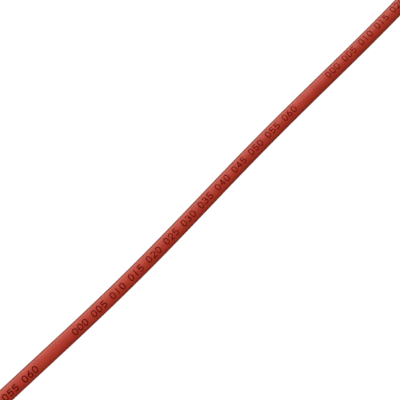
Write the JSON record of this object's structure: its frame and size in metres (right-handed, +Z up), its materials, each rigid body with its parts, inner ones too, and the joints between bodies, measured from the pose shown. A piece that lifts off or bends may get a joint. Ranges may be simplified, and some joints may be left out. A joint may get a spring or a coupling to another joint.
{
  "type": "heat shrink tube",
  "caption": "Thin-walled round heat shrink tube in a cut length, lying in a gentle curve and open from end to end, for sleeving and insulating a wire or splice.",
  "frame": {"origin": "under the middle of the tube's box, on the surface that it lies on", "axes": "+X along the tube, +Y across it on the surface that it lies on, +Z up"},
  "size_m": [0.1524, 0.0044, 0.003],
  "materials": {
    "tube_red": "satin"
  },
  "bodies": {
    "root": {"shrink_tube": "tube_red"}
  },
  "joints": []
}
